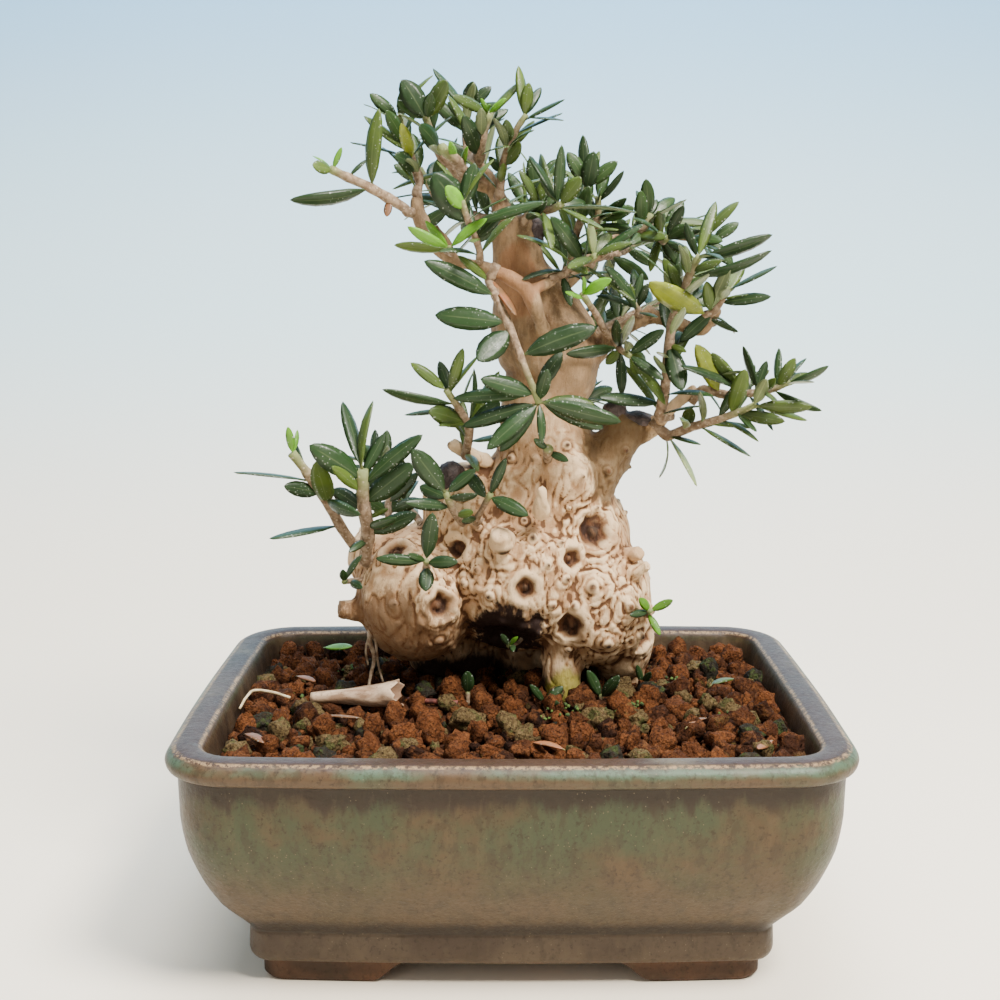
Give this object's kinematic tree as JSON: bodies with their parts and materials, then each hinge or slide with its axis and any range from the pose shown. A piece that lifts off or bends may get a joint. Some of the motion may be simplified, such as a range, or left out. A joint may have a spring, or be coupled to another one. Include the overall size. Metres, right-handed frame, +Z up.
{
  "type": "potted bonsai tree",
  "caption": "Small wild olive bonsai: a thick knobbly trunk with leafy shoots, rooted in coarse grained soil in a rounded rectangular glazed pot on low feet.",
  "frame": {"origin": "centre of the pot's footprint, on the plane that its feet stand on", "axes": "+X to the right and -Y to the viewer as the tree is seen from its front, +Z up"},
  "size_m": [0.13, 0.1, 0.1737],
  "materials": {
    "glaze": "satin",
    "earth": "matte",
    "bark": "matte",
    "leaf": "satin",
    "paste": "matte",
    "netting": "matte",
    "dead_bark": "matte"
  },
  "bodies": {
    "root": {"pot": "glaze", "soil": "earth", "drain_screen_left": "netting", "drain_screen_right": "netting", "trunk": "bark", "wound_paste_stub": "paste", "wound_paste_shoulder": "paste", "wound_paste_top": "paste", "bark_curl": "dead_bark", "dry_stem": "dead_bark", "shoot_far_left": "leaf", "shoot_top_left": "leaf", "shoot_top_mid": "leaf", "shoot_top_tall": "leaf", "shoot_stub_front": "leaf", "shoot_top_right": "leaf", "shoot_top_back": "leaf", "shoot_front_bright": "leaf", "shoot_front_up": "leaf", "shoot_drop": "leaf", "shoot_mid_left": "leaf", "shoot_low_left2": "leaf", "shoot_low_left1": "leaf", "shoot_low_left3": "leaf", "shoot_low_mid1": "leaf", "shoot_low_mid2": "leaf", "shoot_low_sprout": "leaf", "shoot_left_tiny": "leaf", "shoot_crown_front1": "leaf", "shoot_crown_mid": "leaf", "shoot_crown_up1": "leaf", "shoot_crown_up2": "leaf", "shoot_crown_right1": "leaf", "shoot_crown_right2": "leaf", "shoot_riser": "leaf", "shoot_crown_right3": "leaf", "shoot_crown_right5": "leaf", "shoot_crown_right6": "leaf", "shoot_small_bright": "leaf", "shoot_right_low": "leaf", "shoot_fork_top": "leaf", "shoot_fork_low": "leaf", "shoot_mid_stub": "leaf", "shoot_hole_sprout": "leaf", "shoot_right_sprout": "leaf", "shoot_soil_sprout_a": "leaf", "shoot_soil_sprout_b": "leaf", "shoot_soil_sprout_c": "leaf", "shoot_soil_sprout_d": "leaf", "shoot_crown_far": "leaf", "shoot_back_left_up": "leaf", "shoot_back_up": "leaf", "shoot_back_right_up": "leaf", "shoot_back_high": "leaf", "shoot_back_right": "leaf", "shoot_back_mid": "leaf", "shoot_back_low": "leaf", "shoot_back_left_low": "leaf"}
  },
  "joints": []
}
